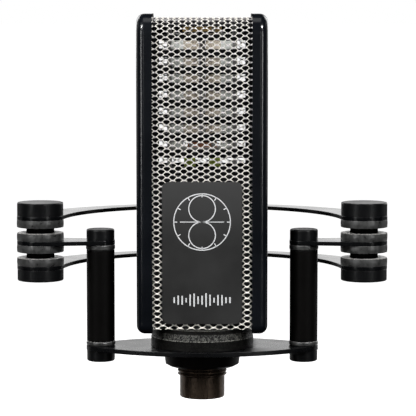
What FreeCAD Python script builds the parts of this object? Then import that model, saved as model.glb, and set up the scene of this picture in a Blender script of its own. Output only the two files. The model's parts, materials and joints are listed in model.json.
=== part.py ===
import FreeCAD, Part
import math
import os

# Ribbon microphone in a rubber-isolated yoke with a swivelling stand socket.
# Millimetres, +Z up, front facing -Y. The origin is the mouth of the stand thread, on its axis.

# --- driving dimensions -------------------------------------------------------------------------

MIC_Y = -57.0            # the microphone's axis stands this far in front of the stand's axis
RUN = 0.05               # radial clearance where one piece turns or slides on another
SEAT = 0.02              # gap between a fixed piece and the pocket that it sits in

# microphone body
BODY_HALF_X = 28.8
BODY_HALF_Y = 20.5
BODY_BOTTOM = 16.4
BODY_TOP = 157.1
RIM = 6.9                # width of each side rail, seen from the front
RAIL_WALL = 3.0
RAIL_ROUND = 3.6         # rounding of the rails' outer edges
CORNER_TOP = 8.9         # the rails' corners, seen from the side
CORNER_BOTTOM = 4.0
RAIL_SCREW_TOP_Z = 147.5
RAIL_SCREW_LOW_Z = 22.4
RAIL_SCREW_TOP_Y = 5.0
RAIL_SCREW_LOW_Y = 10.0
RAIL_SCREW_R = 1.5
RAIL_SCREW_X0 = 22.6
RAIL_HEAD_R = 2.8
RAIL_HEAD_T = 1.4
RAIL_HEAD_LAND = 0.1
INNER_ROOM = 0.1         # room between the rails' walls and the pieces that they hold
LIP = 1.6                # the rim stands this far outside the grille
GRILLE_T = 0.7
GRILLE_HALF_X = 24.3
GRILLE_BOTTOM = 18.5
MESH_LONG = 10.06        # pitch of the grille's diamonds across and up, twice the fine mesh's
MESH_SHORT = 5.24
MESH_STRAND = 1.1
BADGE_HALF_X = 17.6
BADGE_BOTTOM = 21.0
BADGE_TOP = 83.7
BADGE_T = 0.7
BADGE_CORNER = 3.0

# base of the microphone
COLLAR_R = 22.9
COLLAR_TOP_R = 21.8
COLLAR_SHOULDER = 16.3
COLLAR_RIM = 13.6
COLLAR_TOP = 18.0
BLOCK_BOTTOM = 19.75
BLOCK_TOP = 25.0
BLOCK_HALF_Y = 17.4
BLOCK_EDGE = 1.0
BOSS_R = 18.0
THREAD_R = 11.0          # M22 x 1.5
THREAD_PITCH = 1.5
THREAD_DEPTH = 0.85
CREST_START = 0.37       # where a thread's flat crest starts and ends, as shares of the pitch
CREST_END = 0.63
THREAD_BOTTOM = -4.7
NECK_R = 9.5
NECK_BORE = 6.95
NUT_TOP = 28.5
NUT_R = 13.0
SPANNER_SLOT = 3.0
SHELL_R = 10.05          # male XLR shell
SHELL_BORE = 8.15
SHELL_MOUTH = -14.4
INSERT_FACE = 1.1
INSERT_TOP = 9.1
PIN_R = 1.2
PIN_CIRCLE = 3.8
PIN_TIP = -12.4
PIN_TAIL = 12.0

# carrier plate, lock ring, posts and arms
PLATE_TOP = 8.8
PLATE_T = 2.0
LENS_HALF_Y = 23.3
POST_X = 45.5
POST_R = 6.25
POST_RING_R = 6.5
POST_TOP = 61.2
POST_CAP_BOTTOM = 1.8
POST_RING_UP = 2.6
POST_RING_LOW = 2.1
ROD_R = 2.0
ROD_FLOOR = 1.5          # metal left over each rod's blind hole
POST_CAP_EDGE = 0.7
LOCK_R = 17.15
LOCK_LOW_R = 16.5
LOCK_BOTTOM = -0.15
LOCK_WASHER_T = 0.5
ARM_BOTTOM = 54.4
ARM_T = 1.8
ARM_POST_R = 6.45
ARM_STACK_R = 10.4

# isolator stacks and crescent plates
STACK_X = 72.4
CAP_R = 10.3
CAP_UP_H = 6.0
CAP_LOW_H = 5.25
CAP_FLOOR = 2.0          # metal left over each stud's blind hole
CAP_EDGE = 0.5
PLATE2_T = 1.7
FLANGE_R = 10.5
FLANGE_T = 3.4
ISOLATOR_NECK_R = 6.3
ISOLATOR_EDGE = 0.3
ISOLATOR_ROOM = 0.7      # sideways room for the stud in the rubber
ISOLATOR_H = 9.3
STUD_R = 2.5
STUD_ROOM = 1.5          # sideways room for the arm round its stud
CRESCENT_APEX = 60.5     # outer edge of a crescent plate, behind the microphone's axis
CRESCENT_INNER_Y = -10.0 # centre of its inner arc, from the microphone's axis

# rear block, clevis and stand socket
BLOCK_HALF_X = 15.0
BLOCK_INSET = 0.6
FRAME_SCREW_X = 10.0
FRAME_SCREW_Y = 56.0
FRAME_SCREW_R = 1.5
FRAME_SCREW_LENGTH = 10.0
HEAD_R = 2.8
HEAD_T = 1.6
HEAD_EDGE = 0.5
CLEVIS_BASE_T = 3.0
PIVOT_Z = 26.0
EAR_IN = 4.15
EAR_OUT = 9.0
EAR_R = 7.0
TONGUE_HALF_X = 4.0
TONGUE_R = 7.0
SOCKET_R = 12.0
SOCKET_TOP = 18.0
STAND_THREAD_R = 7.95    # 5/8 inch
STAND_THREAD_DEPTH = 15.0
BOLT_R = 3.0
BOLT_ACROSS = 10.0       # M6 head across its flats
BOLT_HEAD_T = 4.0
BUSH_R = 4.2
KNOB_R = 11.0
KNOB_X0 = 12.6
KNOB_X1 = 24.6
KNOB_HUB_R = 6.0
FLUTES = 10
FLUTE_R = 2.6
FLUTE_CIRCLE = 12.6
WASHER_T = 1.0
WASHER_R = 6.5

# ribbon motor and electronics
MOTOR_TOP = 148.5
MOTOR_BOTTOM = 101.0
MAGNET_BOTTOM = 98.0
GAP_HALF = 1.5
POLE_X = 8.3
TAPER_X = 4.5
NOSE_HALF_Y = 1.8
MAGNET_X = 13.5
YOKE_X = 15.5
YOKE_HALF_Y = 5.0
MAGNET_HALF_Y = 4.5
YOKE_BAR_BOTTOM = 94.0
BRIDGE_BOTTOM = 151.6
BRIDGE_TOP = 154.0
BRIDGE_HALF_Y = 9.0
LUG_T = 2.0
LUG_BOTTOM = 144.0
BAFFLE_HALF_X = 23.5
BAFFLE_Y = 11.4
BAFFLE_T = 1.2
BAFFLE_BOTTOM = 86.0
BAFFLE_TOP = 148.0
REAR_BAFFLE_TOP = 151.6   # the rear baffle also closes the gap below the bridge
SLOT_COUNT = 8
SLOT_PITCH = 7.36
SLOT_H = 3.8
SLOT_TOP_Z = 143.4       # middle of the highest slot
SLOT_HALF_X = 19.4
SPACER_R = 0.95
CLAMP_TOP_X = 8.6
CLAMP_LOW_X = 6.5
CLAMP_H = 2.2
CLAMP_HALF_Y = 4.0
CLAMP_SCREW_X = 5.0
CLAMP_SCREW_R = 0.6
CLAMP_HEAD_R = 0.95
CLAMP_HEAD_T = 0.6
INSULATOR_T = 0.6
RIBBON_T = 0.08
RIBBON_HALF_X = 1.35
RIBBON_WAVE = 0.3
RIBBON_PITCH = 1.5
CAN_HALF_X = 21.5
CAN_HALF_Y = 16.0
CAN_T = 1.0
TERMINAL_BOTTOM = 89.5
CORE_TOP = 82.0
CORE_BOTTOM = 60.0
WINDING_TOP = 77.0
WINDING_BOTTOM = 65.0
WINDING_HALF_X = 9.3
LEG_HALF_X = 4.5         # the core's middle leg
BOARD_Y = 0.8
BOARD_T = 1.6
BOARD_BOTTOM = 31.0
BOARD_TOP = 57.0
LEAD_X = 5.5             # the two leads from the ribbon, and the holes in the can for them
LEAD_Y = -4.5
LEAD_HOLE_R = 1.2
WIRE_R = 0.5

INNER_X = BODY_HALF_X - RAIL_WALL - INNER_ROOM
REAR = -MIC_Y            # the stand's axis, counted from the microphone's
PLATE_BOTTOM = PLATE_TOP - PLATE_T
ARM_TOP = ARM_BOTTOM + ARM_T
UPPER_PLATE_Z = ARM_TOP + ISOLATOR_H
LOWER_PLATE_Z = ARM_BOTTOM - ISOLATOR_H - PLATE2_T
SIDES = (-1, 1)

nodes = {}


# --- helpers ------------------------------------------------------------------------------------


def at(x, y, z):
    return FreeCAD.Vector(x, y, z)


def box(x0, x1, y0, y1, z0, z1):
    """A block between six planes, with y counted from the microphone's axis."""
    return Part.makeBox(x1 - x0, y1 - y0, z1 - z0, at(x0, y0 + MIC_Y, z0))


def rod(radius, z0, z1, x=0.0, y=0.0):
    return Part.makeCylinder(radius, z1 - z0, at(x, y + MIC_Y, z0))


def cross_rod(radius, x0, x1, y, z):
    return Part.makeCylinder(radius, x1 - x0, at(x0, y + MIC_Y, z), at(1, 0, 0))


def deep_rod(radius, y0, y1, x, z):
    return Part.makeCylinder(radius, y1 - y0, at(x, y0 + MIC_Y, z), at(0, 1, 0))


def turned(profile, x=0.0, y=0.0):
    """A solid turned about a vertical axis, from a closed profile of (radius, z) points."""
    corners = [at(r, 0, z) for r, z in profile]
    face = Part.Face(Part.makePolygon(corners + corners[:1]))
    solid = face.revolve(at(0, 0, 0), at(0, 0, 1), 360)
    solid.translate(at(x, y + MIC_Y, 0))
    return solid


def tube(outer, inner, z0, z1, x=0.0, y=0.0, top=0.0, bottom=0.0):
    """A turned ring or disc whose outer edges are bevelled by top and bottom."""
    profile = [(inner, z0), (outer - bottom, z0)]
    if bottom:
        profile.append((outer, z0 + bottom))
    if top:
        profile.append((outer, z1 - top))
    profile += [(outer - top, z1), (inner, z1)]
    return turned(profile, x, y)


def prism(edges, z0, z1):
    """A plate between two heights, from edges drawn at z = 0 about the microphone's axis."""
    wire = Part.Wire(Part.__sortEdges__(edges))
    solid = Part.Face(wire).extrude(at(0, 0, z1 - z0))
    solid.translate(at(0, MIC_Y, z0))
    return solid


def arc(start, middle, end):
    return Part.Arc(start, middle, end).toShape()


def line(start, end):
    return Part.LineSegment(start, end).toShape()


def polar(centre_x, centre_y, radius, angle):
    return at(centre_x + radius * math.cos(angle), centre_y + radius * math.sin(angle), 0)


def fused(shapes):
    first, *rest = shapes
    return first.fuse(rest).removeSplitter() if rest else first


def keep(name, *shapes):
    nodes[name] = shapes[0] if len(shapes) == 1 else Part.makeCompound(list(shapes))


# --- side rails and grille ----------------------------------------------------------------------


def side_outline(inset):
    """The rail's silhouette seen from the side, drawn at x = 0 and shrunk by inset."""
    y = BODY_HALF_Y - inset
    low = BODY_BOTTOM + inset
    high = BODY_TOP - inset
    top = CORNER_TOP - inset
    bottom = max(CORNER_BOTTOM - inset, 1.0)
    half = math.sqrt(0.5)
    edges = []
    corners = ((y, high, top), (-y, high, top), (-y, low, bottom), (y, low, bottom))
    starts, ends = [], []
    for corner_y, corner_z, radius in corners:
        side = math.copysign(1, corner_y)
        up = 1 if corner_z == high else -1
        centre = at(0, corner_y - side * radius, corner_z - up * radius)
        upright = centre + at(0, side * radius, 0)
        level = centre + at(0, 0, up * radius)
        edges.append(arc(upright, centre + at(0, side * radius * half, up * radius * half), level))
        starts.append(upright)
        ends.append(level)
    edges += [line(ends[0], ends[1]), line(starts[1], starts[2])]
    edges += [line(ends[2], ends[3]), line(starts[3], starts[0])]
    return Part.Face(Part.Wire(Part.__sortEdges__(edges)))


def side_slab(inset, x0, x1):
    solid = side_outline(inset).extrude(at(x1 - x0, 0, 0))
    solid.translate(at(x0, MIC_Y, 0))
    return solid


def screw_places():
    """(y, z) of the screws that hold each rail to the top bridge and to the base block."""
    places = [(side * RAIL_SCREW_TOP_Y, RAIL_SCREW_TOP_Z) for side in SIDES]
    return places + [(side * RAIL_SCREW_LOW_Y, RAIL_SCREW_LOW_Z) for side in SIDES]


def rail_screw(side, y, z):
    """A countersunk screw, its head flush with the rail's face."""
    x = BODY_HALF_X - RAIL_HEAD_T
    foot = at(x, y + MIC_Y, z)
    head = Part.makeCone(RAIL_SCREW_R, RAIL_HEAD_R, RAIL_HEAD_T - RAIL_HEAD_LAND, foot, at(1, 0, 0))
    face = cross_rod(RAIL_HEAD_R, BODY_HALF_X - RAIL_HEAD_LAND, BODY_HALF_X, y, z)
    shank = cross_rod(RAIL_SCREW_R, RAIL_SCREW_X0, x, y, z)
    solid = fused([head, face, shank])
    return solid if side > 0 else mirrored(solid)


def mirrored(solid):
    return solid.mirror(at(0, 0, 0), at(1, 0, 0))


def side_rail():
    """The right-hand tray: a side wall with a rim whose lip covers the grille's edge."""
    inner = BODY_HALF_X - RIM
    shell = side_slab(0, inner, BODY_HALF_X)
    outer_edges = [
        edge for edge in shell.Edges
        if all(abs(v.X - BODY_HALF_X) < 1e-6 for v in edge.Vertexes)
    ]
    shell = shell.makeFillet(RAIL_ROUND, outer_edges)
    hollow = side_slab(RAIL_WALL, inner - 1, BODY_HALF_X - RAIL_WALL)
    rebate = side_slab(LIP - RUN, inner - 1, GRILLE_HALF_X + 0.1)
    slots = []
    for side in SIDES:
        y0, y1 = sorted((side * (BODY_HALF_Y - LIP + RUN), side * (BODY_HALF_Y - LIP - GRILLE_T - RUN)))
        slots.append(box(inner - 1, GRILLE_HALF_X + 0.1, y0, y1, GRILLE_BOTTOM - RUN, BLOCK_TOP))
    shell = shell.cut([hollow, rebate] + slots)
    holes = [rail_screw(1, y, z) for y, z in screw_places()]
    return shell.cut(holes)


def grille_sheet():
    """A sheet bent over the top of the body like an upturned U."""
    profiles = []
    for inset in (LIP, LIP + GRILLE_T):
        y = BODY_HALF_Y - inset
        top = BODY_TOP - inset
        bend = CORNER_TOP - inset
        slant = bend * math.sqrt(0.5)
        points = [at(0, -y, GRILLE_BOTTOM), at(0, -y, top - bend), at(0, -y + bend, top)]
        middle = at(0, -y + bend - slant, top - bend + slant)
        profiles.append((points, middle))

    edges = []
    for points, middle in profiles:
        low, shoulder, crown = points
        for side in SIDES:
            foot, start, end, halfway = [at(0, side * p.y, p.z) for p in (low, shoulder, crown, middle)]
            edges += [line(foot, start), arc(start, halfway, end)]
        edges.append(line(crown, at(0, -crown.y, crown.z)))
    outer_low, inner_low = profiles[0][0][0], profiles[1][0][0]
    for side in SIDES:
        edges.append(line(at(0, side * outer_low.y, outer_low.z), at(0, side * inner_low.y, inner_low.z)))
    sheet = Part.Face(Part.Wire(Part.__sortEdges__(edges))).extrude(at(2 * GRILLE_HALF_X, 0, 0))
    sheet.translate(at(-GRILLE_HALF_X, MIC_Y, 0))
    return sheet


def diamond(x, z):
    """A prism through the front and the back of the grille, the shape of one mesh opening."""
    half_x = MESH_LONG / 2 - MESH_STRAND
    half_z = MESH_SHORT / 2 - MESH_STRAND / 2
    low_y = -BODY_HALF_Y + MIC_Y
    corners = [at(x + half_x, low_y, z), at(x, low_y, z + half_z)]
    corners += [at(x - half_x, low_y, z), at(x, low_y, z - half_z)]
    face = Part.Face(Part.makePolygon(corners + corners[:1]))
    return face.extrude(at(0, 2 * BODY_HALF_Y, 0))


def mesh_grille():
    sheet = grille_sheet()
    openings = []
    z = GRILLE_BOTTOM + MESH_SHORT
    row = 0
    while z < BODY_TOP - CORNER_TOP:
        shift = MESH_LONG / 2 if row % 2 else 0.0
        for column in range(-2, 3):
            x = column * MESH_LONG + shift
            if abs(x) < GRILLE_HALF_X - MESH_LONG / 2:
                openings.append(diamond(x, z))
        z += MESH_SHORT / 2
        row += 1
    return sheet.cut(openings)


def badge_plate():
    y0 = -BODY_HALF_Y + LIP - BADGE_T
    plate = box(-BADGE_HALF_X, BADGE_HALF_X, y0, y0 + BADGE_T, BADGE_BOTTOM, BADGE_TOP)
    upright = [e for e in plate.Edges if abs(e.Vertexes[0].Y - e.Vertexes[-1].Y) > BADGE_T / 2]
    return plate.makeFillet(BADGE_CORNER, upright)


right_rail = side_rail()
keep("side_rail_right", right_rail)
keep("side_rail_left", mirrored(right_rail))
keep("mesh_grille", mesh_grille())
keep("badge_plate", badge_plate())
keep("rail_screws", *[rail_screw(side, y, z) for side in SIDES for y, z in screw_places()])


# --- base of the microphone ---------------------------------------------------------------------


def base_collar():
    """A turned foot with a sloping shoulder that enters the body between the rails."""
    bore = NECK_R + SEAT
    bevel = 0.3
    return turned([
        (bore, PLATE_TOP), (COLLAR_R - bevel, PLATE_TOP), (COLLAR_R, PLATE_TOP + bevel),
        (COLLAR_R, COLLAR_RIM - bevel), (COLLAR_R - bevel, COLLAR_RIM),
        (COLLAR_TOP_R, COLLAR_SHOULDER), (COLLAR_TOP_R, COLLAR_TOP), (bore, COLLAR_TOP),
    ])


def base_block():
    """The block that closes the body from below and takes the rails' lower screws."""
    slab = box(-INNER_X, INNER_X, -BLOCK_HALF_Y, BLOCK_HALF_Y, BLOCK_BOTTOM, BLOCK_TOP)
    low_edges = [
        e for e in slab.Edges
        if e.BoundBox.XLength > INNER_X and e.BoundBox.ZMax < BLOCK_BOTTOM + RUN
    ]
    slab = slab.makeChamfer(BLOCK_EDGE, low_edges)
    boss = rod(BOSS_R, COLLAR_TOP, BLOCK_BOTTOM)
    block = fused([slab, boss])
    screws = [rail_screw(side, y, z) for side in SIDES for y, z in screw_places() if z < BLOCK_TOP]
    return block.cut([rod(NECK_R + SEAT, 0, NUT_TOP)] + screws)


def threaded_base():
    """The turned body of the connector: XLR shell, M22 thread, and a neck that holds the collar."""
    bevel = 0.4
    root = THREAD_R - THREAD_DEPTH
    profile = [(SHELL_BORE + bevel, SHELL_MOUTH), (SHELL_R - bevel, SHELL_MOUTH)]
    profile += [(SHELL_R, SHELL_MOUTH + bevel), (SHELL_R, THREAD_BOTTOM)]
    z = THREAD_BOTTOM
    while z + THREAD_PITCH < PLATE_BOTTOM:
        profile += [(root, z), (THREAD_R, z + CREST_START * THREAD_PITCH)]
        profile += [(THREAD_R, z + CREST_END * THREAD_PITCH), (root, z + THREAD_PITCH)]
        z += THREAD_PITCH
    profile = [p for i, p in enumerate(profile) if i == 0 or p != profile[i - 1]]
    profile += [(THREAD_R, PLATE_BOTTOM - 0.1), (THREAD_R, PLATE_TOP), (NECK_R, PLATE_TOP)]
    profile += [(NECK_R, NUT_TOP), (NECK_BORE, NUT_TOP), (NECK_BORE, INSERT_TOP)]
    profile += [(SHELL_BORE, INSERT_TOP), (SHELL_BORE, SHELL_MOUTH + bevel)]
    return turned(profile)


def base_nut():
    """A round nut with two spanner slots, which draws collar and block together."""
    nut = tube(NUT_R, NECK_R + SEAT, BLOCK_TOP, NUT_TOP - 0.3, top=0.4)
    half = SPANNER_SLOT / 2
    slot = box(-NUT_R - 1, NUT_R + 1, -half, half, NUT_TOP - SPANNER_SLOT, NUT_TOP)
    return nut.cut(slot.cut(rod(NECK_R + SEAT, 0, NUT_TOP + 1)))


def pin_places():
    return ((PIN_CIRCLE, 0.0), (-PIN_CIRCLE, 0.0), (0.0, -PIN_CIRCLE))


def xlr_insert():
    """The insulating disc of the connector."""
    insert = tube(SHELL_BORE - SEAT, 0.0, INSERT_FACE, INSERT_TOP - SEAT, bottom=0.4)
    return insert.cut([rod(PIN_R + SEAT, -20, 20, x, y) for x, y in pin_places()])


def xlr_pin(x, y):
    """A contact with a rounded tip below and a solder tail above."""
    tip = PIN_R * 0.6
    return turned([
        (0, PIN_TIP), (PIN_R - tip, PIN_TIP), (PIN_R, PIN_TIP + tip),
        (PIN_R, PIN_TAIL - 2), (PIN_R * 0.7, PIN_TAIL), (0, PIN_TAIL),
    ], x, y)


keep("base_collar", base_collar())
keep("base_block", base_block())
keep("threaded_base", threaded_base())
keep("base_nut", base_nut())
keep("xlr_insert", xlr_insert())
keep("xlr_pins", *[xlr_pin(x, y) for x, y in pin_places()])


# --- ribbon motor -------------------------------------------------------------------------------


def top_bridge():
    """A bracket across the top, with a lug down each side for the rails' upper screws."""
    y = BRIDGE_HALF_Y
    bar = box(-INNER_X, INNER_X, -y, y, BRIDGE_BOTTOM, BRIDGE_TOP)
    lugs = []
    for side in SIDES:
        x0, x1 = sorted((side * INNER_X, side * (INNER_X - LUG_T)))
        lugs.append(box(x0, x1, -y, y, LUG_BOTTOM, BRIDGE_BOTTOM))
    screws = [rail_screw(side, y, z) for side in SIDES for y, z in screw_places() if z > BLOCK_TOP]
    return fused([bar] + lugs).cut(screws)


def baffle(side, top):
    """A plate with wide slots, one in front of the motor and one behind it."""
    y0 = side * (BAFFLE_Y + BAFFLE_T / 2) - BAFFLE_T / 2
    plate = box(-BAFFLE_HALF_X, BAFFLE_HALF_X, y0, y0 + BAFFLE_T, BAFFLE_BOTTOM, top)
    slots = []
    for k in range(SLOT_COUNT):
        z0 = SLOT_TOP_Z - k * SLOT_PITCH - SLOT_H / 2
        slots.append(box(-SLOT_HALF_X, SLOT_HALF_X, y0 - 1, y0 + BAFFLE_T + 1, z0, z0 + SLOT_H))
    return plate.cut(slots)


def spacers():
    """Short posts that carry the baffles on the yoke's four corners, front and back."""
    high = SLOT_TOP_Z - SLOT_PITCH / 2
    low = high - (SLOT_COUNT - 2) * SLOT_PITCH
    x = (MAGNET_X + YOKE_X) / 2
    return [
        deep_rod(SPACER_R, *sorted((side * YOKE_HALF_Y, side * BAFFLE_Y)), s * x, z)
        for side in SIDES for s in SIDES for z in (high, low)
    ]


def motor_yoke():
    """A steel frame: two flux plates beside the magnets, joined by a bar below the motor."""
    plates = [
        box(min(s * MAGNET_X, s * YOKE_X), max(s * MAGNET_X, s * YOKE_X),
            -YOKE_HALF_Y, YOKE_HALF_Y, BAFFLE_BOTTOM, BRIDGE_BOTTOM)
        for s in SIDES
    ]
    bar = box(-MAGNET_X, MAGNET_X, -YOKE_HALF_Y, YOKE_HALF_Y, YOKE_BAR_BOTTOM, MAGNET_BOTTOM)
    return fused(plates + [bar])


def magnet(side):
    inner, outer = sorted((side * POLE_X, side * MAGNET_X))
    return box(inner, outer, -MAGNET_HALF_Y, MAGNET_HALF_Y, MAGNET_BOTTOM, MOTOR_TOP)


def pole_piece(side):
    """A wedge of soft iron that narrows towards the ribbon's gap."""
    corners = [(POLE_X, -MAGNET_HALF_Y), (POLE_X, MAGNET_HALF_Y), (TAPER_X, MAGNET_HALF_Y)]
    corners += [(GAP_HALF, NOSE_HALF_Y), (GAP_HALF, -NOSE_HALF_Y), (TAPER_X, -MAGNET_HALF_Y)]
    points = [at(side * x, y, 0) for x, y in corners]
    edges = [line(p, q) for p, q in zip(points, points[1:] + points[:1])]
    return prism(edges, MOTOR_BOTTOM, MOTOR_TOP)


def ribbon():
    """The corrugated foil, flat where the clamps hold it."""
    low, high = MAGNET_BOTTOM + 0.2, MOTOR_TOP + 2.4
    centre = [(0.0, low), (0.0, MOTOR_BOTTOM)]
    z = MOTOR_BOTTOM + RIBBON_PITCH / 2
    side = 1
    while z < MOTOR_TOP - RIBBON_PITCH / 2:
        centre.append((side * RIBBON_WAVE, z))
        side = -side
        z += RIBBON_PITCH / 2
    centre += [(0.0, MOTOR_TOP), (0.0, high)]
    front = [at(-RIBBON_HALF_X, y - RIBBON_T / 2, z) for y, z in centre]
    back = [at(-RIBBON_HALF_X, y + RIBBON_T / 2, z) for y, z in reversed(centre)]
    outline = front + back
    solid = Part.Face(Part.makePolygon(outline + outline[:1])).extrude(at(2 * RIBBON_HALF_X, 0, 0))
    solid.translate(at(0, MIC_Y, 0))
    return solid


def clamp_height(top):
    return MOTOR_TOP + INSULATOR_T if top else MAGNET_BOTTOM


def clamp_screw(top, side):
    x = side * CLAMP_SCREW_X
    z = clamp_height(top) + CLAMP_H / 2
    head = deep_rod(CLAMP_HEAD_R, -CLAMP_HALF_Y - CLAMP_HEAD_T, -CLAMP_HALF_Y, x, z)
    return fused([head, deep_rod(CLAMP_SCREW_R, -CLAMP_HALF_Y, CLAMP_HALF_Y, x, z)])


def clamp_halves(top):
    """Two bars that pinch one end of the ribbon between them."""
    half_x = CLAMP_TOP_X if top else CLAMP_LOW_X
    z = clamp_height(top)
    halves = []
    for side in SIDES:
        y0, y1 = sorted((side * RIBBON_T / 2, side * CLAMP_HALF_Y))
        bar = box(-half_x, half_x, y0, y1, z, z + CLAMP_H)
        halves.append(bar.cut([clamp_screw(top, s) for s in SIDES]))
    return halves


def insulators():
    """Strips between the clamps and the pole pieces, with a gap for the ribbon."""
    strips = []
    for z in (MOTOR_TOP, MOTOR_BOTTOM - INSULATOR_T):
        for side in SIDES:
            y0, y1 = sorted((side * 0.5, side * CLAMP_HALF_Y))
            strips.append(box(-CLAMP_LOW_X, CLAMP_LOW_X, y0, y1, z, z + INSULATOR_T))
    return strips


keep("top_bridge", top_bridge())
keep("front_baffle", baffle(-1, BAFFLE_TOP))
keep("rear_baffle", baffle(1, REAR_BAFFLE_TOP))
keep("baffle_spacers", *spacers())
keep("motor_yoke", motor_yoke())
keep("magnets", magnet(-1), magnet(1))
keep("pole_pieces", pole_piece(-1), pole_piece(1))
keep("ribbon", ribbon())
keep("ribbon_clamp_top", *clamp_halves(True))
keep("ribbon_clamp_bottom", *clamp_halves(False))
keep("clamp_screws", *[clamp_screw(top, side) for top in (True, False) for side in SIDES])
keep("clamp_insulators", *insulators())


# --- electronics --------------------------------------------------------------------------------

def terminals():
    """Two solder blocks under the yoke's bar, where the ribbon's leads end."""
    return [
        box(min(s * 3.0, s * 8.0), max(s * 3.0, s * 8.0), -7.5, -2.0, TERMINAL_BOTTOM, YOKE_BAR_BOTTOM)
        for s in SIDES
    ]


def shield_can():
    """A steel can, open below, over the transformer and the circuit board."""
    can = box(-CAN_HALF_X, CAN_HALF_X, -CAN_HALF_Y, CAN_HALF_Y, BLOCK_TOP, BAFFLE_BOTTOM)
    inside = box(-CAN_HALF_X + CAN_T, CAN_HALF_X - CAN_T, -CAN_HALF_Y + CAN_T, CAN_HALF_Y - CAN_T,
                 BLOCK_TOP, BAFFLE_BOTTOM - CAN_T)
    holes = [rod(LEAD_HOLE_R, CORE_TOP, TERMINAL_BOTTOM, s * LEAD_X, LEAD_Y) for s in SIDES]
    return can.cut([inside] + holes)


def transformer_core():
    """Two windows round a middle leg."""
    core = box(-14, 14, -8, 8, CORE_BOTTOM, CORE_TOP)
    windows = []
    for side in SIDES:
        x0, x1 = sorted((side * LEG_HALF_X, side * (WINDING_HALF_X + 0.2)))
        windows.append(box(x0, x1, -9, 9, WINDING_BOTTOM - 0.5, WINDING_TOP + 0.5))
    return core.cut(windows)


def transformer_winding():
    winding = box(-WINDING_HALF_X, WINDING_HALF_X, -12, 12, WINDING_BOTTOM, WINDING_TOP)
    room = LEG_HALF_X + 0.1
    return winding.cut(box(-room, room, -8.1, 8.1, CORE_BOTTOM, CORE_TOP))


def circuit_board():
    return box(-18, 18, BOARD_Y, BOARD_Y + BOARD_T, BOARD_BOTTOM, BOARD_TOP)


def board_parts():
    """A wire terminal, three capacitors and three small packages on the board's front."""
    shapes = [box(-6, 6, -5.5, BOARD_Y, BOARD_BOTTOM, BOARD_BOTTOM + 5)]
    for x in (-13.0, 0.0, 13.0):
        shapes.append(deep_rod(3.2, -8.0, BOARD_Y, x, 50.5))
    for x in (-12.0, 0.0, 12.0):
        shapes.append(box(x - 2.5, x + 2.5, -1.2, BOARD_Y, 40.0, 44.0))
    return shapes


def wires():
    """Leads from the solder blocks into the transformer, and from the board to the pins."""
    leads = [rod(WIRE_R, CORE_TOP, TERMINAL_BOTTOM, s * LEAD_X, LEAD_Y) for s in SIDES]
    leads += [rod(WIRE_R, PIN_TAIL, BOARD_BOTTOM, x, y) for x, y in pin_places()]
    return leads


keep("terminals", *terminals())
keep("shield_can", shield_can())
keep("transformer_core", transformer_core())
keep("transformer_winding", transformer_winding())
keep("circuit_board", circuit_board())
keep("board_parts", *board_parts())
keep("inside_wires", *wires())


# --- carrier plate, posts and arms --------------------------------------------------------------


def lens_edges():
    """Two long arcs that run tangent into a round end at each post."""
    end = POST_RING_R
    depth = LENS_HALF_Y
    centre = (POST_X ** 2 - (depth - end) ** 2) / (2 * (depth - end))
    radius = depth + centre
    angle = math.atan2(centre, POST_X)
    edges = []
    for side in SIDES:
        tips = [polar(s * POST_X, 0, end, side * angle if s > 0 else math.pi - side * angle) for s in SIDES]
        edges.append(arc(tips[0], at(0, side * depth, 0), tips[1]))
        assert abs((tips[0] - at(0, -side * centre, 0)).Length - radius) < 1e-6
    for s in SIDES:
        ends = [polar(s * POST_X, 0, end, k * angle if s > 0 else math.pi - k * angle) for k in SIDES]
        edges.append(arc(ends[0], at(s * (POST_X + end), 0, 0), ends[1]))
    return edges


def carrier_plate():
    plate = prism(lens_edges(), PLATE_BOTTOM, PLATE_TOP)
    holes = [rod(ROD_R + RUN, 0, 20, s * POST_X) for s in SIDES]
    return plate.cut([rod(THREAD_R + RUN, 0, 20)] + holes)


def arm(side):
    """A flat link from a stack to a post, its straight sides tangent to both round ends."""
    length = STACK_X - POST_X
    angle = math.acos((ARM_STACK_R - ARM_POST_R) / length)
    ends = {}
    for x, radius in ((STACK_X, ARM_STACK_R), (POST_X, ARM_POST_R)):
        ends[x] = [at(x - radius * math.cos(angle), k * radius * math.sin(angle), 0) for k in SIDES]
    edges = [line(ends[STACK_X][i], ends[POST_X][i]) for i in (0, 1)]
    edges.append(arc(ends[STACK_X][0], at(STACK_X + ARM_STACK_R, 0, 0), ends[STACK_X][1]))
    edges.append(arc(ends[POST_X][0], at(POST_X - ARM_POST_R, 0, 0), ends[POST_X][1]))
    plate = prism(edges, ARM_BOTTOM, ARM_TOP)
    plate = plate.cut([rod(STUD_R + STUD_ROOM, 50, 60, STACK_X), rod(ROD_R + RUN, 50, 60, POST_X)])
    return plate if side > 0 else mirrored(plate)


def post_ring(z0, height, x):
    """A rubber ring with rounded edges."""
    ring = tube(POST_RING_R, ROD_R + RUN, z0, z0 + height, x)
    rims = [e for e in ring.Edges if abs(e.BoundBox.XLength - 2 * POST_RING_R) < 1e-3 and e.Closed]
    return ring.makeFillet(0.8, rims)


def post_cap(z0, z1, x, up):
    """A turned cap with a blind hole for the rod's end."""
    cap = rod(POST_R, z0, z1, x)
    outside = z1 if up else z0
    rim = [e for e in cap.Edges if e.Closed and abs(e.BoundBox.ZMin - outside) < RUN]
    hole = rod(ROD_R, z0, z1 - ROD_FLOOR, x) if up else rod(ROD_R, z0 + ROD_FLOOR, z1, x)
    return cap.makeFillet(POST_CAP_EDGE, rim).cut(hole)


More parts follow.
